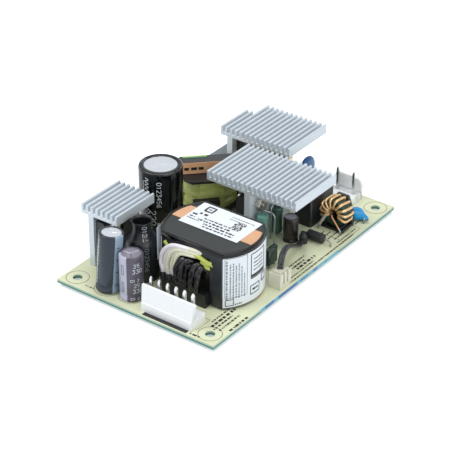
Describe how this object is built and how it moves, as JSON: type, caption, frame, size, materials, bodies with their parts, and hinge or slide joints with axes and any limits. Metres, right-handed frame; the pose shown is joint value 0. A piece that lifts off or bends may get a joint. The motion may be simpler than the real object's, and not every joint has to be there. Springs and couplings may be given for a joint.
{
  "type": "open frame power supply",
  "caption": "Open frame mains power supply on a bare circuit board, with finned heatsinks, can capacitors, a taped transformer, chokes and a connector at each end.",
  "frame": {"origin": "centre of the four mounting holes, on the underside of the circuit board", "axes": "+X along the output edge, +Y from the output edge to the mains edge, +Z from the board towards the components"},
  "size_m": [0.0762, 0.127, 0.0354],
  "materials": {
    "laminate": "satin solder mask",
    "solder": "bright solder",
    "chip_ceramic": "matt",
    "moulding_black": "matt moulding",
    "heatsink_aluminium": "mill finish",
    "steel": "zinc plated",
    "pad_rubber": "matt",
    "can_aluminium": "satin",
    "sleeve_black": "gloss sleeve",
    "sleeve_blue": "gloss sleeve",
    "sleeve_purple": "gloss sleeve",
    "shrink_black": "heat-shrunk",
    "ferrite": "ground ferrite",
    "tape_yellow": "film tape",
    "tape_orange": "film tape",
    "label_white": "semi-gloss label",
    "sleeving_white": "soft sleeving",
    "sleeving_black": "soft sleeving",
    "ring_powder": "dark green coat",
    "magnet_wire": "enamelled wire",
    "nylon_white": "natural nylon",
    "nylon_cream": "nylon",
    "tinned": "bright tin",
    "resistor_green": "satin coat",
    "resistor_dark": "satin coat",
    "epoxy_blue": "dipped epoxy",
    "box_grey": "moulded box",
    "dipped_green": "dipped epoxy"
  },
  "bodies": {
    "root": {"bare_leads": "tinned", "barrel_diode": "moulding_black", "bead_sensor": "moulding_black", "black_leads": "sleeving_black", "bleed_resistor": "resistor_dark", "boost_choke_bobbin": "moulding_black", "boost_choke_core": "ferrite", "boost_choke_tape": "tape_orange", "boost_choke_winding": "tape_yellow", "boost_diode": "moulding_black", "bridge_rectifier": "moulding_black", "bulk_capacitor_can": "can_aluminium", "bulk_capacitor_sleeve": "sleeve_black", "chip_parts": "chip_ceramic", "circuit_board": "laminate", "controller_chip": "moulding_black", "core_tape": "tape_orange", "dipped_capacitor": "dipped_green", "disc_capacitor": "epoxy_blue", "film_capacitor": "box_grey", "filter_capacitor": "sleeve_black", "filter_choke_core": "ring_powder", "filter_choke_winding": "magnet_wire", "fuse": "moulding_black", "heatsink_nuts": "steel", "heatsink_screws": "steel", "line_capacitor": "moulding_black", "mains_contacts": "tinned", "mains_header": "nylon_white", "mains_heatsink": "heatsink_aluminium", "optocouplers": "moulding_black", "output_capacitor_can": "can_aluminium", "output_capacitor_sleeve": "sleeve_blue", "output_contacts": "tinned", "output_header": "nylon_white", "output_heatsink": "heatsink_aluminium", "output_rectifier_1": "moulding_black", "output_rectifier_2": "moulding_black", "power_transistor": "moulding_black", "ring_choke_core": "ring_powder", "ring_choke_holder": "moulding_black", "ring_choke_winding": "magnet_wire", "short_capacitor_can": "can_aluminium", "short_capacitor_sleeve": "sleeve_purple", "shrink_sleeve": "shrink_black", "signal_header": "nylon_cream", "signal_pair": "sleeving_black", "signal_plug": "nylon_cream", "snubber_resistor": "resistor_green", "solder_joints": "solder", "supply_capacitor_can": "can_aluminium", "supply_capacitor_sleeve": "sleeve_black", "switch_heatsink": "heatsink_aluminium", "thermal_pads": "pad_rubber", "transformer_bobbin": "moulding_black", "transformer_core": "ferrite", "transformer_labels": "label_white", "transformer_winding": "tape_yellow", "varistor": "epoxy_blue", "white_leads": "sleeving_white"}
  },
  "joints": []
}
